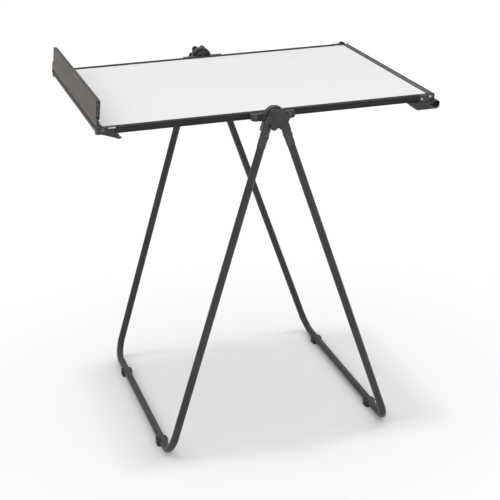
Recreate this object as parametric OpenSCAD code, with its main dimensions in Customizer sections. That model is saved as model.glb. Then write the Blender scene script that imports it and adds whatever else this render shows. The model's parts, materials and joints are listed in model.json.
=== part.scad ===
// Folding easel table: a white writing board in a channel frame, carried level between
// two U-shaped tube legs that cross at a pivot on each side. X runs along the board,
// Y across it, Z up, with the floor at Z = 0. Both legs are the same part: the right leg
// is the left leg turned half a turn about the vertical.

/* [Legs] */
// Height of the pivot axis above the floor
pivot_height = 1000; // [940:5:1060]
// Lean of each leg from the vertical when the stand is open
leg_angle = 17.9; // [16:0.1:19]
// Outside diameter of the leg tube
tube_d = 22; // [20:0.5:23]
// Wall thickness of the leg tube
tube_wall = 1.5; // [1.2:0.1:2]
// Distance from the pivot axis to the centreline of each leg
leg_offset = 16.5; // [16:0.5:18]
// Half the distance between the two sides of a leg, at the floor bar
leg_half_bottom = 382; // [370:1:392]
// Centreline radius of the bend at each lower corner
bend_r = 60; // [50:5:80]
// Thickness of an inner leg head at the pivot; an outer head is half as thick
head_t = 20; // [18:0.5:20]

/* [Board] */
// Length of the writing surface, along X
panel_l = 935; // [900:5:980]
// Width of the writing surface, along Y
panel_w = 700; // [700:1:702]
// Width of the frame lip around the writing surface
lip_w = 18; // [16:1:20]
// Height of the frame rails
rail_h = 18; // [18:0.5:20]
// Distance from the top of the rails down to the pivot axis
pivot_drop = 9; // [9:0.5:10]

/* [Ledge] */
// Height of the ledge plate above its hinge line
ledge_h = 76; // [60:1:80]
// Thickness of the ledge bar
ledge_t = 11; // [10:0.5:12]
// Lean of the ledge towards the board when it stands open
ledge_lean = 6; // [4:0.5:8]

/* [Knobs] */
// Diameter of the pivot bolt
bolt_d = 10; // [8:0.5:12]
// Overall diameter of a hand knob
knob_d = 66; // [56:1:66]
// Number of lobes on a hand knob
knob_lobes = 6; // [5:1:7]

/* [Hidden] */

$fn = 64;
eps = 0.05;          // hairline between pieces that touch
run_gap = 0.05;      // radial clearance of the pivot bores
face_gap = 0.4;      // clearance between the sliding faces at the pivots

// Colours
black_paint = [0.17, 0.17, 0.18];
black_mould = [0.12, 0.12, 0.13];
grey_mould = [0.36, 0.36, 0.38];
bronze = [0.42, 0.39, 0.36];
steel = [0.78, 0.78, 0.80];
white = [0.96, 0.96, 0.96];
fibre = [0.62, 0.50, 0.36];
rubber = [0.10, 0.10, 0.10];

// Stack along Y at each pivot, outwards from the side rail
side_y = panel_w / 2 + lip_w;
bracket_t = 19;
bracket_half = 62;
bracket_y = side_y + bracket_t;
inner_head_y = bracket_y + face_gap;
outer_head_y = inner_head_y + head_t + face_gap;
outer_head_t = head_t / 2;
washer_y = outer_head_y + outer_head_t + face_gap;
washer_t = 2;
knob_y = washer_y + washer_t + face_gap;
knob_t = 15;           // thickness of the hub; the boss stands knob_boss higher
knob_boss = 2;
bolt_r = bolt_d / 2;
bolt_end_y = knob_y + 12;
screw_x = 48;
screw_sink = 2.2;      // depth of the recess under each bracket screw head

// Leg geometry, in the leg's own frame: pivot axis at the origin, tube running down -Z.
// The tube is in line with the joint between the inner and the outer head.
leg_half_top = outer_head_y - face_gap / 2;
tube_r = tube_d / 2;
foot_sole = 4;
bar_z = tube_r + foot_sole;
leg_len = (pivot_height - bar_z + leg_offset * sin(leg_angle)) / cos(leg_angle);
foot_x = leg_offset * cos(leg_angle) + leg_len * sin(leg_angle);
taper = atan((leg_half_top - leg_half_bottom) / leg_len);
side_len = leg_len / cos(taper);
bend_turn = 90 - taper;
bend_t = bend_r * tan(bend_turn / 2);

// Leg heads
head_r = 31;         // disc of the inner head
outer_head_r = 25;   // disc of the outer head
sleeve_top = 14;
sleeve_end = 90;
sleeve_gap = 0.8;    // clearance between a sleeve and the other head's disc
sleeve_r_top = 12.7;
sleeve_r_end = 12.1;
socket_top = 41;
neck_inset = 1;
rivet_s = 60;
rivet_r = 2.5;

// Feet
foot_l = 34;
foot_w = 33;
foot_h = 19;
foot_corner = 8;
near_foot_y = -274;
far_foot_y = 236;
foot_screw_r = 1.6;

// Board frame, in the board's frame: pivot axis at the origin
rail_top = pivot_drop;
rail_bot = pivot_drop - rail_h;
left_x = panel_l / 2 + lip_w + 1.5;
right_x = panel_l / 2 + lip_w;
lip_t = 3;
wall_t = 2.2;
corner_l = 50;
skin_t = 1.2;
core_half_l = panel_l / 2 + 13;
core_half_w = panel_w / 2 + 15.3;
core_bot = rail_bot + lip_t + 0.2;
core_top = rail_top - lip_t - 0.2;
corner_proud = 3;
corner_lid = 0.6;

// Ledge hinge, in the board's frame
hinge_x = -panel_l / 2 - 1.5;
hinge_z = 5;
hinge_screw_r = 2.5;
arm_t = 4;
arm_y = side_y + face_gap;
ledge_wall = 2;
plate_z = 6;         // underside of the ledge plate above the hinge line
plate_x = -17;       // outer face of the ledge plate from the hinge line
ledge_half = 356;
arm_block = 10;      // length of the end block on each ledge arm
ledge_screw_z = [36, 64];

// Pad hooks at the right-hand corners
ear_x = right_x - 18;
ear_z = 5;
ear_r = 10.5;
plate_t = 8;          // depth of the side plate that carries the ear
hook_y = 45;         // length of a pad hook block, across the board
hook_pocket = 16;    // depth of the pocket in its end
right_reach = right_x + 10.5;

// Places the whole stand centred over the origin
pivot_x = (left_x - right_reach) / 2;

// ---------------------------------------------------------------- placing helpers

module left_leg_frame()
    translate([pivot_x, 0, pivot_height]) rotate([0, leg_angle, 0]) children();

module right_leg_frame()
    translate([pivot_x, 0, pivot_height]) rotate([0, 0, 180]) rotate([0, leg_angle, 0]) children();

module left_floor_frame() translate([pivot_x, 0, 0]) children();

module right_floor_frame() translate([pivot_x, 0, 0]) rotate([0, 0, 180]) children();

module board_frame() translate([pivot_x, 0, pivot_height]) children();

module ledge_frame()
    board_frame() translate([hinge_x, 0, hinge_z]) rotate([0, ledge_lean, 0]) children();

// Turns a piece drawn on the near side (-Y) over to the far side
module far_side() mirror([0, 1, 0]) children();

// A cylinder along -Y that starts at the distance y0 from the middle
module peg(r, y0, length) translate([0, -y0, 0]) rotate([90, 0, 0]) cylinder(r = r, h = length);

// Extrudes an outline drawn in X and Z along -Y, from the distance y0 outwards
module slab(y0, length) translate([0, -y0, 0]) rotate([90, 0, 0]) linear_extrude(length) children();

// ---------------------------------------------------------------- legs

// The line of the tube on the +Y side of a leg, with -Z running down the tube
module side_line() translate([-leg_offset, leg_half_top, 0]) rotate([-taper, 0, 0]) children();

// A bend is a hair slimmer than the straight runs and laps half a degree into each of them
module leg_run(r, extra) {
    lap = 0.5;
    for (side = [0, 1]) mirror([0, side, 0]) {
        side_line() translate([0, 0, -(side_len - bend_t)])
            cylinder(r = r, h = side_len - bend_t - socket_top + extra);
        translate([-leg_offset, leg_half_bottom - bend_t, -leg_len + bend_r])
            rotate([0, 90, 0]) rotate([0, 0, -lap])
            rotate_extrude(angle = bend_turn + 2 * lap) translate([bend_r, 0]) circle(r = r - eps);
    }
    translate([-leg_offset, 0, -leg_len]) rotate([90, 0, 0])
        cylinder(r = r, h = 2 * (leg_half_bottom - bend_t), center = true);
}

// Cross holes for the rivets that fix the tube in its two heads
module rivet_line(r, length)
    for (side = [0, 1]) mirror([0, side, 0])
        side_line() translate([0, 0, -rivet_s]) rotate([0, 90, 0])
            cylinder(r = r, h = length, center = true);

// Upright holes for the foot screws, in the bottom of the floor bar
module foot_screw_holes()
    for (y = [near_foot_y, far_foot_y])
        translate([-leg_offset, y, -leg_len]) rotate([0, -leg_angle, 0])
            translate([0, 0, -tube_r - 1]) cylinder(r = foot_screw_r + eps, h = tube_r);

module leg_tube() difference() {
    leg_run(tube_r, 0);
    leg_run(tube_r - tube_wall, 1);
    rivet_line(rivet_r + eps, 4 * tube_r);
    foot_screw_holes();
}

// A disc with bevelled rims around the pivot axis, on the +Y side
module head_disc(y0, disc_r, disc_t) {
    bevel = 1.5;
    translate([0, y0, 0]) rotate([-90, 0, 0]) rotate_extrude() polygon([
        [0, 0], [disc_r - bevel, 0], [disc_r, bevel],
        [disc_r, disc_t - bevel], [disc_r - bevel, disc_t], [0, disc_t]
    ]);
}

// A cylinder around the pivot axis on the +Y side, starting at the distance y0
module pivot_cut(r, y0, length) translate([0, y0, 0]) rotate([-90, 0, 0]) cylinder(r = r, h = length);

// The sleeve that takes the tube, cut back around the disc of the other head
module head_sleeve(cut_y, cut_r, cut_t) difference() {
    side_line() translate([0, 0, -sleeve_end])
        cylinder(r1 = sleeve_r_end, r2 = sleeve_r_top, h = sleeve_end - sleeve_top);
    pivot_cut(cut_r, cut_y, cut_t);
}

// A head on the +Y side: pivot disc, neck and sleeve
module leg_head(y0, disc_r, disc_t, cut_y, cut_r, cut_t) {
    neck_half = 12;
    neck_len = 46;
    difference() {
        union() {
            head_disc(y0, disc_r, disc_t);
            translate([-leg_offset - neck_half, y0 + neck_inset, -neck_len])
                cube([2 * neck_half, disc_t - 2 * neck_inset, neck_len - 8]);
            head_sleeve(cut_y, cut_r, cut_t);
        }
        pivot_cut(bolt_r + run_gap, y0 - 1, disc_t + 2);
        side_line() translate([0, 0, -sleeve_end - 5])
            cylinder(r = tube_r + eps, h = sleeve_end + 5 - socket_top);
        rivet_line(rivet_r + eps, 4 * tube_r);
    }
}

module inner_head()
    leg_head(inner_head_y, head_r, head_t,
             inner_head_y + head_t - neck_inset, outer_head_r + sleeve_gap, head_t);

module outer_head()
    leg_head(outer_head_y, outer_head_r, outer_head_t,
             inner_head_y - 1, head_r + sleeve_gap, head_t + 1 + 3 * neck_inset);

module leg_rivets() {
    head_h = 0.8;
    grip = 24.9;
    rivet_line(rivet_r, grip);
    for (side = [0, 1], end = [-1, 1]) mirror([0, side, 0])
        side_line() translate([end * (grip + head_h) / 2, 0, -rivet_s]) rotate([0, 90, 0])
            cylinder(r = 2 * rivet_r, h = head_h, center = true);
}

// A saddle foot under the floor bar, with a rounded lobe on each side of the tube
module leg_foot(y) {
    recess_r = 4.2;
    difference() {
        translate([-foot_x, y, 0]) foot_body();
        translate([-foot_x, 0, bar_z]) rotate([90, 0, 0])
            cylinder(r = tube_r + eps, h = panel_w, center = true);
        translate([-foot_x, y, -1]) cylinder(r = recess_r, h = 2.6);
        translate([-foot_x, y, 0]) cylinder(r = foot_screw_r + eps, h = foot_sole + 2);
    }
}

module foot_body() linear_extrude(foot_h) {
    square([foot_w - 2 * foot_corner, foot_l], center = true);
    square([foot_w, foot_l - 2 * foot_corner], center = true);
    for (x = [-1, 1], y = [-1, 1])
        translate([x * (foot_w / 2 - foot_corner), y * (foot_l / 2 - foot_corner)])
            circle(r = foot_corner);
}

module foot_screws()
    for (y = [near_foot_y, far_foot_y]) translate([-foot_x, y, 0]) {
        translate([0, 0, 0.6]) cylinder(r = 3.6, h = 1);
        translate([0, 0, 1.5]) cylinder(r = foot_screw_r, h = 6);
    }

// The +Y side of the left leg is the far side; the right leg is turned half a turn
module left_leg_tube() color(black_paint) left_leg_frame() leg_tube();
module left_near_head() color(black_mould) left_leg_frame() far_side() inner_head();
module left_far_head() color(black_mould) left_leg_frame() outer_head();
module left_leg_rivets() color(steel) left_leg_frame() leg_rivets();
module left_near_foot() color(rubber) left_floor_frame() leg_foot(near_foot_y);
module left_far_foot() color(rubber) left_floor_frame() leg_foot(far_foot_y);
module left_foot_screws() color(steel) left_floor_frame() foot_screws();

module right_leg_tube() color(black_paint) right_leg_frame() leg_tube();
module right_near_head() color(black_mould) right_leg_frame() outer_head();
module right_far_head() color(black_mould) right_leg_frame() far_side() inner_head();
module right_leg_rivets() color(steel) right_leg_frame() leg_rivets();
module right_near_foot() color(rubber) right_floor_frame() leg_foot(far_foot_y);
module right_far_foot() color(rubber) right_floor_frame() leg_foot(near_foot_y);
module right_foot_screws() color(steel) right_floor_frame() foot_screws();

// ---------------------------------------------------------------- board

// Rail section: first axis from the outer face inwards, second axis up
module rail_section() {
    groove = 0.8;
    difference() {
        polygon([
            [0, 1], [1, 0], [lip_w, 0], [lip_w, rail_h], [1, rail_h], [0, rail_h - 1]
        ]);
        translate([wall_t, lip_t]) square([lip_w, rail_h - 2 * lip_t]);
        for (v = [3, rail_h - 4]) translate([-1, v]) square([1 + groove, 1]);
    }
}

// Section of the left end rail, rounded on its outer side
module round_rail_section() {
    r = rail_h / 2;
    w = lip_w + 1.5;
    difference() {
        union() {
            translate([r, r]) circle(r = r);
            translate([r, 0]) square([w - r, rail_h]);
        }
        translate([6, lip_t]) square([w, rail_h - 2 * lip_t]);
    }
}

module side_rail() {
    x0 = -left_x + corner_l + eps;
    x1 = right_x - corner_l - eps;
    difference() {
        translate([x0, -side_y, rail_bot]) rotate([90, 0, 90])
            linear_extrude(x1 - x0) rail_section();
        for (x = [-screw_x, screw_x]) translate([x, 0, 0]) peg(2, side_y - wall_t - 1, 5);
    }
}

module end_rail(reach)
    translate([reach, panel_w / 2 - eps, rail_bot]) rotate([90, 0, 0])
        linear_extrude(panel_w - 2 * eps) children();

module board_core() color(fibre) board_frame() difference() {
    translate([-core_half_l, -core_half_w, core_bot])
        cube([2 * core_half_l, 2 * core_half_w, core_top - core_bot]);
    for (side = [0, 1]) mirror([0, side, 0]) translate([hinge_x, 0, hinge_z])
        peg(hinge_screw_r - 0.4, side_y - 12, 12);
}

module writing_surface() color(white) board_frame()
    translate([-panel_l / 2 + eps, -panel_w / 2 + eps, core_top])
    cube([panel_l - 2 * eps, panel_w - 2 * eps, skin_t]);

module near_side_rail() color(black_paint) board_frame() side_rail();
module far_side_rail() color(black_paint) board_frame() far_side() side_rail();
module left_end_rail() color(bronze) board_frame() end_rail(-left_x) round_rail_section();
module right_end_rail() color(black_paint) board_frame()
    end_rail(right_x) mirror([1, 0]) rail_section();

// The pocket for the core panel, cut out of each corner block
module core_pocket()
    translate([-core_half_l - 0.2, -core_half_w - 0.2, core_bot - 0.2])
    cube([2 * core_half_l + 0.4, 2 * core_half_w + 0.4, core_top - core_bot + 0.4]);

// Plan of a corner block, its outer corner rounded, running inwards along +X and +Y
module corner_plan(w, r) {
    translate([r, r]) circle(r = r);
    translate([r, 0]) square([corner_l - r, w]);
    translate([0, r]) square([corner_l, w - r]);
}

module left_corner() difference() {
    translate([-left_x, -side_y, rail_bot])
        linear_extrude(rail_h + corner_lid) corner_plan(lip_w - eps, 9);
    core_pocket();
    translate([hinge_x, 0, hinge_z]) peg(hinge_screw_r - 0.4, side_y - 12, 20);
    translate([-panel_l / 2, 0, rail_bot - 1]) mirror([0, 1, 0])
        cube([panel_l, panel_w / 2, rail_h + 4]);
}

// The near end of the end rail's corner, with a side plate that ends in a round ear
module right_corner() difference() {
    union() {
        translate([right_x, -side_y + plate_t, rail_bot]) mirror([1, 0, 0])
            cube([corner_l, lip_w - eps - plate_t, rail_h]);
        slab(side_y - plate_t - 1, plate_t + 1 + corner_proud) {
            translate([right_x - corner_l, rail_bot])
                square([ear_x + corner_l - right_x, rail_h + corner_lid]);
            translate([ear_x, ear_z]) circle(r = ear_r);
        }
    }
    core_pocket();
    corner_screw_places() peg(1.6, side_y - 8, 20);
}

module corner_screw_places() {
    translate([ear_x, 0, ear_z]) children();
    translate([ear_x - 25, 0, -1]) children();
}

module near_left_corner() color(black_mould) board_frame() left_corner();
module far_left_corner() color(black_mould) board_frame() far_side() left_corner();
module near_right_corner() color(black_mould) board_frame() right_corner();
module far_right_corner() color(black_mould) board_frame() far_side() right_corner();

module pan_screw(head_r, head_h, shank_r, y0, shank_l) {
    peg(head_r, y0, head_h);
    peg(shank_r, y0 - shank_l, shank_l);
}

module corner_screws() color(steel) board_frame()
    for (side = [0, 1]) mirror([0, side, 0])
        corner_screw_places() pan_screw(3.6, 1.8, 1.5, side_y + corner_proud + eps, 5);

// Hook block below a right-hand corner, with a pocket open at its end
module pad_hook() {
    top = rail_bot - eps;
    difference() {
        slab(side_y + 6 - hook_y, hook_y) polygon([
            [right_x - 85, top], [right_x - 58, -32], [right_x + 3.5, -32], [right_reach, -25.5],
            [right_reach, -11], [right_x, top]
        ]);
        slab(side_y + 6 - hook_pocket, hook_pocket + 2) polygon([
            [right_x - 2, top - 2], [right_x - 20, -18], [right_x - 8, -28],
            [right_x + 2, -28], [right_reach - 3, -24], [right_reach - 3, -12.5],
            [right_x + 2, top - 2]
        ]);
    }
}

module near_pad_hook() color(grey_mould) board_frame() pad_hook();
module far_pad_hook() color(grey_mould) board_frame() far_side() pad_hook();

// Bracket that carries the pivot bolt on the outside of a side rail
module pivot_bracket() {
    drop = 3;
    boss_r = 22;
    difference() {
        union() {
            slab(side_y, bracket_t) polygon([
                [-bracket_half, rail_bot], [-bracket_half + 10, rail_bot - drop],
                [bracket_half - 10, rail_bot - drop], [bracket_half, rail_bot],
                [bracket_half, rail_top - 1], [-bracket_half, rail_top - 1]
            ]);
            peg(boss_r, side_y, bracket_t);
        }
        peg(bolt_r + eps, side_y - 1, bracket_t + 2);
        peg(11 + eps, side_y - 1, 1 + 4 + eps);
        for (x = [-screw_x, screw_x]) translate([x, 0, 0]) {
            peg(2, side_y - 1, bracket_t + 2);
            peg(7.5, bracket_y - screw_sink, 5);
        }
    }
}

module near_pivot_bracket() color(black_mould) board_frame() pivot_bracket();
module far_pivot_bracket() color(black_mould) board_frame() far_side() pivot_bracket();

module bracket_screws() color(black_paint) board_frame()
    for (side = [0, 1], x = [-screw_x, screw_x]) mirror([0, side, 0]) translate([x, 0, 0])
        pan_screw(6.5, 3, 1.9, bracket_y - screw_sink + eps, bracket_t - 0.4);

module pivot_bolt() {
    peg(11, side_y + eps, 4);
    peg(bolt_r, side_y + 2, bolt_end_y - side_y - 2);
}

module near_pivot_bolt() color(steel) board_frame() pivot_bolt();
module far_pivot_bolt() color(steel) board_frame() far_side() pivot_bolt();

module pivot_washers() color(steel) board_frame()
    for (side = [0, 1]) mirror([0, side, 0]) difference() {
        peg(12.5, washer_y, washer_t);
        peg(bolt_r + eps, washer_y - 1, washer_t + 2);
    }

module ledge_hinge_screws() color(steel) board_frame()
    for (side = [0, 1]) mirror([0, side, 0]) translate([hinge_x, 0, hinge_z]) {
        peg(4.5, arm_y + arm_t + face_gap, 1.8);
        peg(hinge_screw_r, side_y, arm_t + 3 * face_gap);
        peg(hinge_screw_r - 0.5, side_y - 10, 11);
    }

// ---------------------------------------------------------------- ledge

// Channel bar of the ledge, open towards the board
module ledge_section() {
    lip = 6;
    difference() {
        translate([plate_x, plate_z]) square([ledge_t, ledge_h - plate_z]);
        translate([plate_x + ledge_wall, plate_z + ledge_wall])
            square([ledge_t, ledge_h - plate_z - 2 * ledge_wall]);
    }
    translate([plate_x + ledge_t - ledge_wall, ledge_h - lip]) square([ledge_wall, lip]);
    translate([plate_x + ledge_t - ledge_wall, plate_z]) square([ledge_wall, lip]);
}

module ledge_bar() color(bronze) ledge_frame()
    slab(-ledge_half + arm_block, 2 * (ledge_half - arm_block)) ledge_section();

// Outline of the side arm below the ledge, from the knuckle to the hooked tip
module arm_outline() difference() {
    union() {
        circle(r = 9);
        translate([-6, -1.5]) circle(r = 11.3);
        polygon([
            [plate_x, 6], [-13, -10.5], [11, -16], [35, -21.5],
            [41, -24], [47, -24.5], [54, -19], [47, -17], [44, -10.5],
            [30, -4], [4, 5.5], [-8, 15], [plate_x + 5, 23], [plate_x, 30]
        ]);
    }
    circle(r = hinge_screw_r + run_gap);
}

// End piece of the ledge: an end block on the bar and the arm outside the rail
module ledge_arm() difference() {
    union() {
        slab(arm_y, arm_t) arm_outline();
        slab(ledge_half - arm_block + eps, arm_block) polygon([
            [plate_x, plate_z + 2], [plate_x + 3, plate_z + 2], [plate_x + 4, 19],
            [plate_x + ledge_t, 25], [plate_x + ledge_t, ledge_h - 3],
            [plate_x + ledge_t - 2, ledge_h], [plate_x, ledge_h]
        ]);
        slab(ledge_half - 1, arm_y + arm_t - ledge_half + 1) polygon([
            [plate_x, plate_z + 2], [plate_x + 3, plate_z + 2], [plate_x + 4, 16],
            [plate_x + 8, 21], [plate_x + 4, 25], [plate_x, 28]
        ]);
    }
    for (z = ledge_screw_z) translate([plate_x + ledge_t / 2, 0, z]) {
        peg(1.6, ledge_half - arm_block - 1, 30);
        peg(3, ledge_half - 1, 3);
    }
}

module near_ledge_arm() color(grey_mould) ledge_frame() ledge_arm();
module far_ledge_arm() color(grey_mould) ledge_frame() far_side() ledge_arm();

module ledge_screws() color(steel) ledge_frame()
    for (side = [0, 1], z = ledge_screw_z) mirror([0, side, 0])
        translate([plate_x + ledge_t / 2, 0, z])
            pan_screw(2.8, 0.9, 1.5, ledge_half - 1 + 2 * eps, 8);

// Leaf spring on the rail that clicks against the ledge arm
module detent_spring() {
    y0 = side_y + 0.1;
    translate([hinge_x + 16, 0, hinge_z + 1]) slab(y0, 0.25) square([20, 3]);
}

module near_detent_spring() color(steel) board_frame() detent_spring();
module far_detent_spring() color(steel) board_frame() far_side() detent_spring();

// ---------------------------------------------------------------- knobs

lobe_r = knob_d / 7;
insert_r = 8;
insert_l = 12.9;
boss_r = 13;
cap_r = 6;

module knob_body() {
    hub_r = knob_d / 2 - lobe_r + 1;
    difference() {
        union() {
            peg(hub_r, knob_y, knob_t);
            for (i = [0 : knob_lobes - 1]) rotate([0, i * 360 / knob_lobes, 0])
                translate([knob_d / 2 - lobe_r, 0, 0]) peg(lobe_r, knob_y, knob_t - 2);
            peg(boss_r, knob_y, knob_t + knob_boss);
        }
        peg(insert_r + eps, knob_y - 1, insert_l + 1.1);
        peg(cap_r + eps, knob_y + knob_t + knob_boss - 3, 5);
    }
}

module knob_insert() difference() {
    peg(insert_r, knob_y, insert_l);
    peg(bolt_r + run_gap, knob_y - 1, insert_l + 2);
}

module knob_cap() peg(cap_r, knob_y + knob_t + knob_boss - 3 + eps, 2.5);

module near_knob() color(black_mould) board_frame() knob_body();
module near_knob_insert() color(steel) board_frame() knob_insert();
module near_knob_cap() color(grey_mould) board_frame() knob_cap();
module far_knob() color(black_mould) board_frame() far_side() knob_body();
module far_knob_insert() color(steel) board_frame() far_side() knob_insert();
module far_knob_cap() color(grey_mould) board_frame() far_side() knob_cap();

// ---------------------------------------------------------------- the nodes

left_leg_tube();
left_near_head();
left_far_head();
left_leg_rivets();
left_near_foot();
left_far_foot();
left_foot_screws();
right_leg_tube();
right_near_head();
right_far_head();
right_leg_rivets();
right_near_foot();
right_far_foot();
right_foot_screws();
board_core();
writing_surface();
near_side_rail();
far_side_rail();
left_end_rail();
right_end_rail();
near_left_corner();
far_left_corner();
near_right_corner();
far_right_corner();
near_pivot_bracket();
far_pivot_bracket();
bracket_screws();
near_pivot_bolt();
far_pivot_bolt();
pivot_washers();
corner_screws();
ledge_hinge_screws();
near_pad_hook();
far_pad_hook();
ledge_bar();
near_ledge_arm();
far_ledge_arm();
ledge_screws();
near_detent_spring();
far_detent_spring();
near_knob();
near_knob_insert();
near_knob_cap();
far_knob();
far_knob_insert();
far_knob_cap();
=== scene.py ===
"""Looks for the folding easel table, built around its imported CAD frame. Lengths are in metres."""

import json
import math

import bmesh
import bpy
from mathutils import Matrix, Vector


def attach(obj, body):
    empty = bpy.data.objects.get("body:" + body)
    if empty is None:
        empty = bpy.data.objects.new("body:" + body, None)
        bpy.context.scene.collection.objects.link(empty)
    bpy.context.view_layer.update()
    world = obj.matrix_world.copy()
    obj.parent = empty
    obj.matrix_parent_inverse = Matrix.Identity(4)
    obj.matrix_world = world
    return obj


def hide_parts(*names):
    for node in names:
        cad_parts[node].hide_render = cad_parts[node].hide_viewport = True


MM = 0.001
JOINED_WITHIN = 1e-6
FLAT_BELOW = math.radians(0.3)
ROUND_ABOVE = math.radians(32.0)
SMOOTH_BELOW = math.radians(50.0)
SCREW_SMOOTH_BELOW = math.radians(38.0)
CORE_SMOOTH_BELOW = math.radians(30.0)
STRIP_ROUND_ABOVE = math.radians(60.0)
BEVEL_SEGMENTS = 2

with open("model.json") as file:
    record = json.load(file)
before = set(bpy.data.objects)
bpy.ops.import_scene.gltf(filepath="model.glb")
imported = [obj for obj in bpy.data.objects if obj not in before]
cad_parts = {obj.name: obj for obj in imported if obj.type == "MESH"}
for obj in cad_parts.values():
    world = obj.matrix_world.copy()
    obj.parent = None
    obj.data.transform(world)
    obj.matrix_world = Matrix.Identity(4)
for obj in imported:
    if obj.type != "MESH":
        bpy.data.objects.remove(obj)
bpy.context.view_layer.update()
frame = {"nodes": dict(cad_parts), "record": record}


# ---------------------------------------------------------------- camera

IMAGE_SIDE = 500
SENSOR_WIDTH = 36.0
FOCAL_PIXELS = 1443.907
CAMERA_PLACE = (-1.1133, -4.0403, 2.0227)
CAMERA_AZIMUTH = math.radians(-15.764)
CAMERA_ELEVATION = math.radians(20.281)
CAMERA_ROLL = math.radians(-1.703)


def camera_axes():
    """Right, up and back directions of the camera."""
    azimuth, elevation = CAMERA_AZIMUTH, CAMERA_ELEVATION
    back = Vector((
        math.sin(azimuth) * math.cos(elevation),
        -math.cos(azimuth) * math.cos(elevation),
        math.sin(elevation),
    ))
    right = Vector((0, 0, 1)).cross(back).normalized()
    up = back.cross(right)
    turned_right = right * math.cos(CAMERA_ROLL) + up * math.sin(CAMERA_ROLL)
    turned_up = up * math.cos(CAMERA_ROLL) - right * math.sin(CAMERA_ROLL)
    return turned_right, turned_up, back


def make_camera():
    data = bpy.data.cameras.new("camera")
    data.sensor_width = SENSOR_WIDTH
    data.lens = FOCAL_PIXELS * SENSOR_WIDTH / IMAGE_SIDE
    data.clip_start = 0.1
    data.clip_end = 100.0
    camera = bpy.data.objects.new("camera", data)
    bpy.context.scene.collection.objects.link(camera)
    right, up, back = camera_axes()
    turn = Matrix((right, up, back)).transposed().to_4x4()
    camera.matrix_world = Matrix.Translation(CAMERA_PLACE) @ turn
    bpy.context.scene.camera = camera


# ---------------------------------------------------------------- light and floor

WORLD_LOW = 0.20
WORLD_TOP = 1.11
WORLD_TOP_STARTS = 0.2
WORLD_TOP_FULL = 0.5
KEY_STRENGTH = 0.46
KEY_WIDTH = math.radians(7.0)
KEY_FROM = (-0.25, 0.3, 8.0)
WINDOW_FROM = (-0.80, -0.55, 0.25)
WINDOW_EDGE = 0.86
WINDOW_CORE = 0.97
WINDOW_STRENGTH = 0.55
FLOOR_HALF = 30.0
FLOOR_WHITE = (0.895, 0.900, 0.910, 1.0)


def wire(tree, source, target):
    tree.links.new(source, target)


def window_glow(tree, coords):
    """A soft bright patch in the studio wall, in front of the stand and to its left."""
    facing = tree.nodes.new("ShaderNodeVectorMath")
    facing.operation = "DOT_PRODUCT"
    facing.inputs[1].default_value = Vector(WINDOW_FROM).normalized()
    glow = tree.nodes.new("ShaderNodeMapRange")
    glow.interpolation_type = "SMOOTHSTEP"
    glow.inputs["From Min"].default_value = WINDOW_EDGE
    glow.inputs["From Max"].default_value = WINDOW_CORE
    glow.inputs["To Max"].default_value = WINDOW_STRENGTH
    wire(tree, coords.outputs["Generated"], facing.inputs[0])
    wire(tree, facing.outputs["Value"], glow.inputs["Value"])
    return glow.outputs["Result"]


def make_world():
    """A pale studio all round, brighter towards the ceiling, with one window."""
    world = bpy.data.worlds.new("studio")
    world.use_nodes = True
    tree = world.node_tree
    tree.nodes.clear()
    coords = tree.nodes.new("ShaderNodeTexCoord")
    split = tree.nodes.new("ShaderNodeSeparateXYZ")
    ramp = tree.nodes.new("ShaderNodeMapRange")
    ramp.interpolation_type = "SMOOTHSTEP"
    ramp.inputs["From Min"].default_value = WORLD_TOP_STARTS
    ramp.inputs["From Max"].default_value = WORLD_TOP_FULL
    ramp.inputs["To Min"].default_value = WORLD_LOW
    ramp.inputs["To Max"].default_value = WORLD_TOP
    background = tree.nodes.new("ShaderNodeBackground")
    background.inputs["Color"].default_value = (1.0, 1.0, 1.0, 1.0)
    output = tree.nodes.new("ShaderNodeOutputWorld")
    wire(tree, coords.outputs["Generated"], split.inputs[0])
    wire(tree, split.outputs["Z"], ramp.inputs["Value"])
    light = plus(tree, ramp.outputs["Result"], window_glow(tree, coords))
    wire(tree, light, background.inputs["Strength"])
    wire(tree, background.outputs[0], output.inputs["Surface"])
    bpy.context.scene.world = world


def make_key():
    """A large far softbox almost straight overhead, which throws the board's shadow on the floor."""
    data = bpy.data.lights.new("key", "SUN")
    data.energy = KEY_STRENGTH
    data.angle = KEY_WIDTH
    light = bpy.data.objects.new("key", data)
    bpy.context.scene.collection.objects.link(light)
    light.rotation_mode = "QUATERNION"
    light.rotation_quaternion = (-Vector(KEY_FROM)).to_track_quat("-Z", "Y")


def make_floor():
    mesh = bpy.data.meshes.new("floor")
    half = FLOOR_HALF
    corners = [(-half, -half, 0), (half, -half, 0), (half, half, 0), (-half, half, 0)]
    mesh.from_pydata(corners, [], [(0, 1, 2, 3)])
    floor = bpy.data.objects.new("floor", mesh)
    bpy.context.scene.collection.objects.link(floor)
    material = bpy.data.materials.new("floor_paper")
    material.use_nodes = True
    shader = material.node_tree.nodes["Principled BSDF"]
    shader.inputs["Base Color"].default_value = FLOOR_WHITE
    shader.inputs["Roughness"].default_value = 0.95
    shader.inputs["Specular IOR Level"].default_value = 0.0
    mesh.materials.append(material)


# ---------------------------------------------------------------- materials

EDGE_MASK = "edge"


def start_material(name, metallic, specular):
    material = bpy.data.materials.new(name)
    material.use_nodes = True
    tree = material.node_tree
    shader = tree.nodes["Principled BSDF"]
    shader.inputs["Metallic"].default_value = metallic
    shader.inputs["Specular IOR Level"].default_value = specular
    return material, tree, shader


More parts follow.
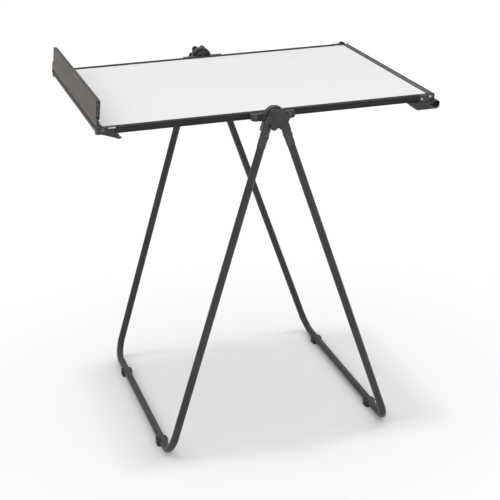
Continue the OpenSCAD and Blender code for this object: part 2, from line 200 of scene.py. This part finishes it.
def noise(tree, scale, detail, stretch=(1.0, 1.0, 1.0)):
    """Noise fixed to the piece; stretch above 1 shortens the pattern along that axis."""
    coords = tree.nodes.new("ShaderNodeTexCoord")
    mapping = tree.nodes.new("ShaderNodeMapping")
    mapping.inputs["Scale"].default_value = stretch
    texture = tree.nodes.new("ShaderNodeTexNoise")
    texture.inputs["Scale"].default_value = scale
    texture.inputs["Detail"].default_value = detail
    wire(tree, coords.outputs["Object"], mapping.inputs["Vector"])
    wire(tree, mapping.outputs["Vector"], texture.inputs["Vector"])
    return texture.outputs["Fac"]


def cells(tree, scale, stretch=(1.0, 1.0, 1.0)):
    """Small rounded cells fixed to the piece, as on a spark-textured mould."""
    coords = tree.nodes.new("ShaderNodeTexCoord")
    mapping = tree.nodes.new("ShaderNodeMapping")
    mapping.inputs["Scale"].default_value = stretch
    texture = tree.nodes.new("ShaderNodeTexVoronoi")
    texture.feature = "SMOOTH_F1"
    texture.inputs["Scale"].default_value = scale
    wire(tree, coords.outputs["Object"], mapping.inputs["Vector"])
    wire(tree, mapping.outputs["Vector"], texture.inputs["Vector"])
    return texture.outputs["Distance"]


def spread(tree, value, low, high, start=0.3, end=0.7):
    """The value, stretched from start..end to low..high."""
    node = tree.nodes.new("ShaderNodeMapRange")
    node.inputs["From Min"].default_value = start
    node.inputs["From Max"].default_value = end
    node.inputs["To Min"].default_value = low
    node.inputs["To Max"].default_value = high
    wire(tree, value, node.inputs["Value"])
    return node.outputs["Result"]


def times(tree, one, other):
    node = tree.nodes.new("ShaderNodeMath")
    node.operation = "MULTIPLY"
    wire(tree, one, node.inputs[0])
    wire(tree, other, node.inputs[1])
    return node.outputs[0]


def plus(tree, one, other):
    node = tree.nodes.new("ShaderNodeMath")
    node.operation = "ADD"
    wire(tree, one, node.inputs[0])
    wire(tree, other, node.inputs[1])
    return node.outputs[0]


def blend_colours(tree, factor, dark, light):
    """A colour from dark to light as factor goes from 0 to 1."""
    node = tree.nodes.new("ShaderNodeMix")
    node.data_type = "RGBA"
    wire(tree, factor, node.inputs["Factor"])
    for socket, colour in (("A", dark), ("B", light)):
        target = [s for s in node.inputs if s.name == socket and s.type == "RGBA"][0]
        if isinstance(colour, bpy.types.NodeSocket):
            wire(tree, colour, target)
        else:
            target.default_value = (*colour, 1.0)
    return [s for s in node.outputs if s.type == "RGBA"][0]


def bump(tree, shader, heights):
    """Chains bumps onto the shader; heights is a list of (value, depth in metres)."""
    normal = None
    for value, depth in heights:
        node = tree.nodes.new("ShaderNodeBump")
        node.inputs["Strength"].default_value = 1.0
        node.inputs["Distance"].default_value = depth
        wire(tree, value, node.inputs["Height"])
        if normal is not None:
            wire(tree, normal, node.inputs["Normal"])
        normal = node.outputs["Normal"]
    wire(tree, normal, shader.inputs["Normal"])


def edge_wear(tree):
    """A patchy mask over the rounded edges of a piece."""
    mask = tree.nodes.new("ShaderNodeAttribute")
    mask.attribute_name = EDGE_MASK
    patches = spread(tree, noise(tree, 60.0, 4.0), 0.15, 1.0, 0.42, 0.62)
    return times(tree, mask.outputs["Fac"], patches)


def finish_material(tree, shader, base, roughness):
    wire(tree, base, shader.inputs["Base Color"])
    wire(tree, roughness, shader.inputs["Roughness"])


def coated_metal(name, dark, light, worn, rough, specular=0.35):
    """Powder coat: orange peel, fine speckle, faint handling marks and rubbed edges."""
    material, tree, shader = start_material(name, 0.0, specular)
    mottle = spread(tree, noise(tree, 14.0, 6.0), 0.0, 1.0, 0.35, 0.65)
    speckle = spread(tree, noise(tree, 1500.0, 2.0), 0.0, 0.35, 0.4, 0.75)
    base = blend_colours(tree, plus(tree, mottle, speckle), dark, light)
    base = blend_colours(tree, edge_wear(tree), base, worn)
    marks = noise(tree, 35.0, 8.0, (1.0, 1.0, 0.12))
    roughness = spread(tree, marks, rough - 0.07, rough + 0.09)
    finish_material(tree, shader, base, roughness)
    peel = noise(tree, 420.0, 2.0)
    grit = noise(tree, 1700.0, 1.0)
    bump(tree, shader, [(peel, 0.00012), (grit, 0.00003)])
    return material


def moulded(name, dark, light, worn, rough, specular=0.4, grain=1100.0):
    """Moulded plastic with a spark-eroded grain and slightly polished edges."""
    material, tree, shader = start_material(name, 0.0, specular)
    mottle = spread(tree, noise(tree, 30.0, 6.0), 0.0, 1.0, 0.35, 0.65)
    base = blend_colours(tree, mottle, dark, light)
    base = blend_colours(tree, edge_wear(tree), base, worn)
    roughness = spread(tree, noise(tree, 90.0, 6.0), rough - 0.06, rough + 0.08)
    finish_material(tree, shader, base, roughness)
    bump(tree, shader, [(cells(tree, grain), 0.00008), (noise(tree, 160.0, 3.0), 0.00005)])
    return material


def extruded(name, dark, light, worn, rough, along, metallic=0.1, specular=0.2):
    """Anodised extrusion: die lines that run along one axis, and faint handling marks."""
    material, tree, shader = start_material(name, metallic, specular)
    lines = [1.0, 1.0, 1.0]
    lines[along] = 0.004
    streaks = noise(tree, 900.0, 4.0, tuple(lines))
    broad = spread(tree, noise(tree, 9.0, 5.0), 0.0, 0.6, 0.35, 0.65)
    fine = spread(tree, streaks, 0.0, 0.4, 0.35, 0.65)
    base = blend_colours(tree, plus(tree, broad, fine), dark, light)
    base = blend_colours(tree, edge_wear(tree), base, worn)
    lines[along] = 0.02
    roughness = spread(tree, noise(tree, 300.0, 4.0, tuple(lines)), rough - 0.06, rough + 0.1)
    finish_material(tree, shader, base, roughness)
    bump(tree, shader, [(streaks, 0.00003), (noise(tree, 500.0, 2.0), 0.00002)])
    return material


def steel(name, dark, light, rough):
    """Zinc plate: fine scratches over a cloudy, slightly bluish metal."""
    material, tree, shader = start_material(name, 0.95, 0.5)
    cloud = spread(tree, noise(tree, 220.0, 5.0), 0.0, 1.0, 0.35, 0.65)
    finish_material(
        tree, shader,
        blend_colours(tree, cloud, dark, light),
        spread(tree, noise(tree, 700.0, 5.0), rough - 0.08, rough + 0.12),
    )
    bump(tree, shader, [(noise(tree, 900.0, 3.0, (1.0, 1.0, 0.1)), 0.00002)])
    return material


def laminate(name):
    """Dry-wipe laminate: a gloss white skin with faint ripple and wiped marks."""
    material, tree, shader = start_material(name, 0.0, 0.5)
    shader.inputs["Coat Weight"].default_value = 0.25
    shader.inputs["Coat Roughness"].default_value = 0.12
    wiped = spread(tree, noise(tree, 7.0, 6.0, (0.35, 1.0, 1.0)), 0.0, 1.0, 0.35, 0.65)
    base = blend_colours(tree, wiped, (0.868, 0.868, 0.872), (0.880, 0.880, 0.884))
    smears = noise(tree, 24.0, 8.0, (0.25, 1.0, 1.0))
    finish_material(tree, shader, base, spread(tree, smears, 0.30, 0.36))
    bump(tree, shader, [(noise(tree, 60.0, 3.0), 0.00004), (noise(tree, 900.0, 2.0), 0.00001)])
    return material


def fibreboard(name):
    """Raw hardboard back: short fibres, flecks and a pressed grain."""
    material, tree, shader = start_material(name, 0.0, 0.2)
    fibres = noise(tree, 260.0, 8.0, (0.3, 1.0, 1.0))
    flecks = noise(tree, 900.0, 3.0)
    tone = plus(tree, spread(tree, fibres, 0.0, 0.7), spread(tree, flecks, 0.0, 0.3))
    base = blend_colours(tree, tone, (0.16, 0.105, 0.062), (0.33, 0.235, 0.15))
    finish_material(tree, shader, base, spread(tree, fibres, 0.7, 0.9))
    bump(tree, shader, [(fibres, 0.0002), (flecks, 0.00008)])
    return material


MATERIALS = {
    "leg_paint": coated_metal(
        "leg_paint", (0.019, 0.019, 0.0185), (0.030, 0.030, 0.0292), (0.10, 0.10, 0.10), 0.38,
        0.42),
    "black_mould": moulded(
        "black_mould", (0.028, 0.028, 0.029), (0.042, 0.042, 0.044), (0.15, 0.15, 0.155), 0.44,
        0.5),
    "foot_rubber": moulded(
        "foot_rubber", (0.030, 0.030, 0.030), (0.048, 0.048, 0.048), (0.07, 0.07, 0.07),
        0.72, 0.25, 700.0),
    "core_board": fibreboard("core_board"),
    "white_surface": laminate("white_surface"),
    "rail_x": extruded(
        "rail_x", (0.024, 0.024, 0.025), (0.038, 0.038, 0.040), (0.15, 0.15, 0.15), 0.52,
        0, 0.0, 0.10),
    "rail_y": extruded(
        "rail_y", (0.024, 0.024, 0.025), (0.038, 0.038, 0.040), (0.12, 0.12, 0.12), 0.52,
        1, 0.0, 0.10),
    "rail_strip": moulded(
        "rail_strip", (0.085, 0.085, 0.088), (0.125, 0.125, 0.129), (0.18, 0.18, 0.18), 0.60,
        0.20, 500.0),
    # Bronze anodised finish of the ledge bar. The left end rail also takes this lighter finish:
    # painted light on a dark rail that faces the light from the left.
    "bronze_anodised": extruded(
        "bronze_anodised", (0.074, 0.064, 0.055), (0.096, 0.084, 0.073), (0.16, 0.145, 0.13),
        0.50, 1, 0.2),
    "grey_mould": moulded(
        "grey_mould", (0.030, 0.030, 0.032), (0.046, 0.046, 0.049), (0.17, 0.17, 0.175), 0.48),
    "black_screw": steel("black_screw", (0.13, 0.13, 0.135), (0.19, 0.19, 0.195), 0.38),
    "bright_steel": steel("bright_steel", (0.50, 0.50, 0.52), (0.72, 0.72, 0.74), 0.28),
}


# ---------------------------------------------------------------- pieces

def body_of_node(node):
    for body, members in frame["record"]["behaviour"]["bodies"].items():
        if node in members:
            return body
    raise KeyError(node)


def merged_mesh(node):
    """The CAD node's mesh with its split corners joined again."""
    mesh = bmesh.new()
    mesh.from_mesh(frame["nodes"][node].data)
    bmesh.ops.remove_doubles(mesh, verts=mesh.verts[:], dist=JOINED_WITHIN)
    return mesh


def add_piece(name, mesh, node, finish):
    """Makes a piece from a bmesh; it stands for the CAD node and rides on its body."""
    data = bpy.data.meshes.new(name)
    mesh.to_mesh(data)
    mesh.free()
    piece = bpy.data.objects.new(name, data)
    bpy.context.scene.collection.objects.link(piece)
    data.materials.append(MATERIALS[finish])
    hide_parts(node)
    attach(piece, body_of_node(node))
    return piece


def smooth_faces(mesh, sharp_above):
    """Smooth shading, with a hard break at every edge sharper than the angle."""
    for face in mesh.faces:
        face.smooth = True
    for edge in mesh.edges:
        if len(edge.link_faces) == 2:
            edge.smooth = edge.calc_face_angle(0.0) < sharp_above
        else:
            edge.smooth = False


def sharp_edges(mesh, above):
    return [e for e in mesh.edges if len(e.link_faces) == 2 and e.calc_face_angle(0.0) > above]


def round_edges(mesh, radius, above):
    """Rounds the sharp edges and marks the new faces, for the wear in the materials."""
    mask = mesh.loops.layers.float.new(EDGE_MASK)
    made = bmesh.ops.bevel(
        mesh, geom=sharp_edges(mesh, above), offset=radius, offset_type="OFFSET",
        segments=BEVEL_SEGMENTS, profile=0.5, affect="EDGES", clamp_overlap=True,
        loop_slide=True, miter_outer="SHARP", miter_inner="SHARP",
    )
    for face in made["faces"]:
        for loop in face.loops:
            loop[mask] = 1.0


def rounded_copy(node, finish, radius):
    """The CAD node again, with its hard edges rounded off as on the made part."""
    mesh = merged_mesh(node)
    bmesh.ops.dissolve_limit(
        mesh, angle_limit=FLAT_BELOW, verts=mesh.verts[:], edges=mesh.edges[:])
    round_edges(mesh, radius, ROUND_ABOVE)
    smooth_faces(mesh, SMOOTH_BELOW)
    piece = add_piece(node + "_shape", mesh, node, finish)
    weighted = piece.modifiers.new("flat_faces", "WEIGHTED_NORMAL")
    weighted.keep_sharp = True


# ---------------------------------------------------------------- turned pieces

TURN_STEPS = 64


def bounds_of(points):
    low = Vector([min(p[i] for p in points) for i in range(3)])
    high = Vector([max(p[i] for p in points) for i in range(3)])
    return low, high


def node_bounds(node):
    return bounds_of([v.co for v in frame["nodes"][node].data.vertices])


def islands(node):
    """The low and high corners of every separate solid in a CAD node."""
    mesh = merged_mesh(node)
    left = set(mesh.verts)
    found = []
    for seed in mesh.verts:
        if seed not in left:
            continue
        left.discard(seed)
        stack = [seed]
        points = []
        while stack:
            vertex = stack.pop()
            points.append(vertex.co.copy())
            near = [e.other_vert(vertex) for e in vertex.link_edges]
            fresh = [v for v in near if v in left]
            left.difference_update(fresh)
            stack.extend(fresh)
        found.append(bounds_of(points))
    mesh.free()
    return found


def add_turned(mesh, start, side, rings, steps=TURN_STEPS):
    """Adds a closed turned shape along Y. Rings are (distance outwards, radius or function)."""
    if mesh.loops.layers.float.get(EDGE_MASK) is None:
        mesh.loops.layers.float.new(EDGE_MASK)
    loops = []
    for out, radius in rings:
        loop = []
        for k in range(steps):
            angle = 2.0 * math.pi * k / steps
            r = radius(angle) if callable(radius) else radius
            place = (r * math.cos(angle), side * out, r * math.sin(angle))
            loop.append(mesh.verts.new(start + Vector(place)))
        loops.append(loop)
    made = []
    for one, other in zip(loops, loops[1:]):
        for k in range(steps):
            n = (k + 1) % steps
            made.append(mesh.faces.new((one[k], one[n], other[n], other[k])))
    for loop, out in ((loops[0], rings[0][0]), (loops[-1], rings[-1][0])):
        middle = mesh.verts.new(start + Vector((0.0, side * out, 0.0)))
        for k in range(steps):
            made.append(mesh.faces.new((loop[k], loop[(k + 1) % steps], middle)))
    bmesh.ops.recalc_face_normals(mesh, faces=made)


def cross_recess(arm, half_width):
    """Radius of a cross-shaped recess at an angle around the screw."""
    def radius(angle):
        quarter = math.pi / 2.0
        off = abs((angle + quarter / 2.0) % quarter - quarter / 2.0)
        return min(arm / math.cos(off), half_width / max(math.sin(off), 1e-6))
    return radius


# Head height in mm, cross arm as a share of the head radius, shank steps (length, radius) in mm
# from the tip, and finish. The last step runs on to the head, so its length is only nominal.
SCREWS = {
    "bracket_screws": (3.0, 0.52, [(30.0, 1.9)], "black_screw"),
    "corner_screws": (1.8, 0.56, [(30.0, 1.5)], "bright_steel"),
    "ledge_screws": (0.9, 0.56, [(30.0, 1.5)], "black_screw"),
    "ledge_hinge_screws": (1.8, 0.50, [(10.0, 2.0), (30.0, 2.5)], "black_screw"),
}


def shank_rings(steps, length):
    """Rings from the tip of a screw to the underside of its head."""
    tip = steps[0][1] * MM
    rings = [(0.0, 0.5 * tip), (min(0.8 * MM, 0.2 * length), tip)]
    reached = 0.0
    for (step, radius), following in zip(steps, steps[1:] + [None]):
        reached = length if following is None else reached + step * MM
        rings.append((reached, radius * MM))
        if following is not None:
            rings.append((reached, following[1] * MM))
    return rings


def head_rings(base, radius, height, arm_share):
    """Rings of a domed head with a cross recess, from its underside to the recess floor."""
    arm = arm_share * radius
    width = 0.2 * arm
    top = base + height
    dome = [(0.0, 0.97), (0.22, 1.0), (0.55, 0.955), (0.82, 0.85), (0.96, 0.72)]
    rings = [(base + share * height, size * radius) for share, size in dome]
    rings.append((top, 0.62 * radius))
    rings.append((top, cross_recess(arm, width)))
    rings.append((top - 0.25 * height, cross_recess(0.9 * arm, 0.85 * width)))
    rings.append((top - 0.6 * height, cross_recess(0.6 * arm, 0.8 * width)))
    return rings


def make_screws(node):
    height, arm_share, steps, finish = SCREWS[node]
    mesh = bmesh.new()
    for low, high in islands(node):
        side = 1.0 if low.y + high.y > 0.0 else -1.0
        inner = low.y if side > 0.0 else high.y
        length = high.y - low.y - height * MM
        start = Vector(((low.x + high.x) / 2.0, inner, (low.z + high.z) / 2.0))
        radius = (high.x - low.x) / 2.0
        rings = shank_rings(steps, length) + head_rings(length, radius, height * MM, arm_share)
        add_turned(mesh, start, side, rings)
    smooth_faces(mesh, SCREW_SMOOTH_BELOW)
    add_piece(node + "_shape", mesh, node, finish)


# ---------------------------------------------------------------- knobs

KNOB_LOBES = 6
KNOB_RIDGES = 132
KNOB_STEPS = KNOB_RIDGES * 5
LOBE_SHARE = 2.0 / 7.0
RIDGE_DEPTH = 0.28 * MM
SOFT_JOIN = 16.0
HUB_PROUD = 1.0 * MM


def lobed_outline(outer, inset, ridges=0.0):
    """Radius of the knob's outline: a hub with round lobes, blended softly into each other."""
    lobe = LOBE_SHARE * outer
    middle = outer - lobe
    hub = middle + HUB_PROUD

    def radius(angle):
        turn = 2.0 * math.pi / KNOB_LOBES
        off = (angle + turn / 2.0) % turn - turn / 2.0
        across = middle * math.sin(off)
        reach = 0.0
        if abs(across) < lobe:
            reach = middle * math.cos(off) + math.sqrt(lobe ** 2 - across ** 2)
        joined = (hub ** SOFT_JOIN + reach ** SOFT_JOIN) ** (1.0 / SOFT_JOIN)
        ridge = ridges * (0.5 - 0.5 * math.cos(KNOB_RIDGES * angle))
        return min(joined, outer) - inset - ridge
    return radius


def knob_rings(outer, depth):
    """Rings of a star knob from the bottom of its insert hole to the bottom of its cap hole."""
    def edge(inset, ridges=0.0):
        return lobed_outline(outer, inset * MM, ridges)
    rings = [(13.1, 8.05), (0.0, 8.05), (0.0, 14.6), (0.4, 15.2), (2.6, 15.6)]
    rings = [(out * MM, radius * MM) for out, radius in rings]
    rings += [
        (3.0 * MM, edge(2.6)), (3.2 * MM, edge(1.0)), (3.9 * MM, edge(0.3)),
        (4.3 * MM, edge(0.0, RIDGE_DEPTH)), (11.2 * MM, edge(0.0, RIDGE_DEPTH)),
        (11.8 * MM, edge(0.3)), (12.7 * MM, edge(0.9)), (13.0 * MM, edge(1.9)),
        (13.0 * MM, edge(2.9)), (12.5 * MM, edge(3.4)), (11.9 * MM, edge(4.6)),
        (11.7 * MM, edge(6.2)),
    ]
    top = depth / MM
    boss = [
        (11.7, 15.2), (12.0, 13.7), (13.2, 13.0), (top - 1.2, 12.7), (top - 0.4, 12.4),
        (top, 11.5), (top, 10.3), (top - 0.5, 10.0), (top - 0.5, 8.6), (top - 0.1, 8.3),
        (top - 0.1, 6.1), (top - 3.0, 6.1),
    ]
    return rings + [(out * MM, radius * MM) for out, radius in boss]


def make_knob(node, finish):
    low, high = node_bounds(node)
    side = 1.0 if low.y > 0.0 else -1.0
    inner = low.y if side > 0.0 else high.y
    start = Vector(((low.x + high.x) / 2.0, inner, (low.z + high.z) / 2.0))
    outer = (high.x - low.x) / 2.0
    mesh = bmesh.new()
    add_turned(mesh, start, side, knob_rings(outer, high.y - low.y), KNOB_STEPS)
    smooth_faces(mesh, SMOOTH_BELOW)
    add_piece(node + "_shape", mesh, node, finish)


# ---------------------------------------------------------------- grip strip

STRIP_FROM_EDGE = 6.4 * MM
STRIP_INSET = 0.7 * MM
STRIP_PROUD = 0.35 * MM
STRIP_BURIED = 0.3 * MM
STRIP_ROUNDING = 0.15 * MM


def make_rail_strip():
    """A grained strip along the inner two thirds of the right end rail's top face."""
    low, high = node_bounds("right_end_rail")
    west = low.x + STRIP_INSET
    east = high.x - STRIP_FROM_EDGE
    mesh = bmesh.new()
    bmesh.ops.create_cube(mesh, size=1.0)
    size = Vector((east - west, high.y - low.y - 2.0 * STRIP_INSET, STRIP_PROUD + STRIP_BURIED))
    middle = Vector(((west + east) / 2.0, (low.y + high.y) / 2.0, 0.0))
    middle.z = high.z + (STRIP_PROUD - STRIP_BURIED) / 2.0
    for vertex in mesh.verts:
        vertex.co = middle + Vector([c * s for c, s in zip(vertex.co, size)])
    round_edges(mesh, STRIP_ROUNDING, STRIP_ROUND_ABOVE)
    smooth_faces(mesh, SMOOTH_BELOW)
    add_piece("right_end_rail_strip", mesh, "right_end_rail", "rail_strip")


# ---------------------------------------------------------------- core panel

CORE_CLIP = 9.0 * MM


def make_core():
    """The fibreboard core, its two right-hand corners clipped so that no fibreboard shows."""
    mesh = merged_mesh("board_core")
    low, high = node_bounds("board_core")
    at_corner = 1.0 * MM
    corners = []
    for edge in mesh.edges:
        one, other = [v.co for v in edge.verts]
        upright = abs(one.x - other.x) + abs(one.y - other.y) < at_corner
        right_end = high.x - one.x < at_corner
        side = min(high.y - one.y, one.y - low.y) < at_corner
        if upright and right_end and side:
            corners.append(edge)
    bmesh.ops.bevel(mesh, geom=corners, offset=CORE_CLIP, segments=1, affect="EDGES")
    smooth_faces(mesh, CORE_SMOOTH_BELOW)
    add_piece("board_core_shape", mesh, "board_core", "core_board")


# ---------------------------------------------------------------- which piece gets what

ROUNDED = {
    "left_near_head": ("black_mould", 0.8), "left_far_head": ("black_mould", 0.8),
    "right_near_head": ("black_mould", 0.8), "right_far_head": ("black_mould", 0.8),
    "left_near_foot": ("foot_rubber", 2.0), "left_far_foot": ("foot_rubber", 2.0),
    "right_near_foot": ("foot_rubber", 2.0), "right_far_foot": ("foot_rubber", 2.0),
    "left_leg_rivets": ("bright_steel", 0.45), "right_leg_rivets": ("bright_steel", 0.45),
    "near_left_corner": ("black_mould", 1.0), "far_left_corner": ("black_mould", 1.0),
    "near_right_corner": ("black_mould", 0.8), "far_right_corner": ("black_mould", 0.8),
    "near_pivot_bracket": ("black_mould", 0.9), "far_pivot_bracket": ("black_mould", 0.9),
    "near_pad_hook": ("grey_mould", 1.3), "far_pad_hook": ("grey_mould", 1.3),
    "ledge_bar": ("bronze_anodised", 0.7),
    "near_ledge_arm": ("grey_mould", 0.8), "far_ledge_arm": ("grey_mould", 0.8),
    "near_side_rail": ("rail_x", 0.4), "far_side_rail": ("rail_x", 0.4),
    # The left end rail gets the lighter bronze finish as painted light: a dark rail painted lighter
    # where it faces the light from the left.
    "left_end_rail": ("bronze_anodised", 0.3), "right_end_rail": ("rail_y", 0.4),
    "pivot_washers": ("bright_steel", 0.3),
    "near_knob_cap": ("grey_mould", 0.5), "far_knob_cap": ("grey_mould", 0.5),
}

KEPT = {
    "left_leg_tube": "leg_paint", "right_leg_tube": "leg_paint",
    "writing_surface": "white_surface",
    "near_pivot_bolt": "bright_steel", "far_pivot_bolt": "bright_steel",
    "near_knob_insert": "bright_steel", "far_knob_insert": "bright_steel",
    "near_detent_spring": "bright_steel", "far_detent_spring": "bright_steel",
    "left_foot_screws": "bright_steel", "right_foot_screws": "bright_steel",
}


def finish_kept_nodes():
    for node, finish in KEPT.items():
        piece = frame["nodes"][node]
        piece.data.materials.clear()
        piece.data.materials.append(MATERIALS[finish])


# ---------------------------------------------------------------- everything

make_camera()
make_world()
make_key()
make_floor()
bpy.context.scene.view_settings.view_transform = "Standard"

for rounded_node, (rounded_finish, rounded_radius) in ROUNDED.items():
    rounded_copy(rounded_node, rounded_finish, rounded_radius * MM)
finish_kept_nodes()
make_core()
make_rail_strip()
for screw_node in SCREWS:
    make_screws(screw_node)
for knob_node in ("near_knob", "far_knob"):
    make_knob(knob_node, "black_mould")
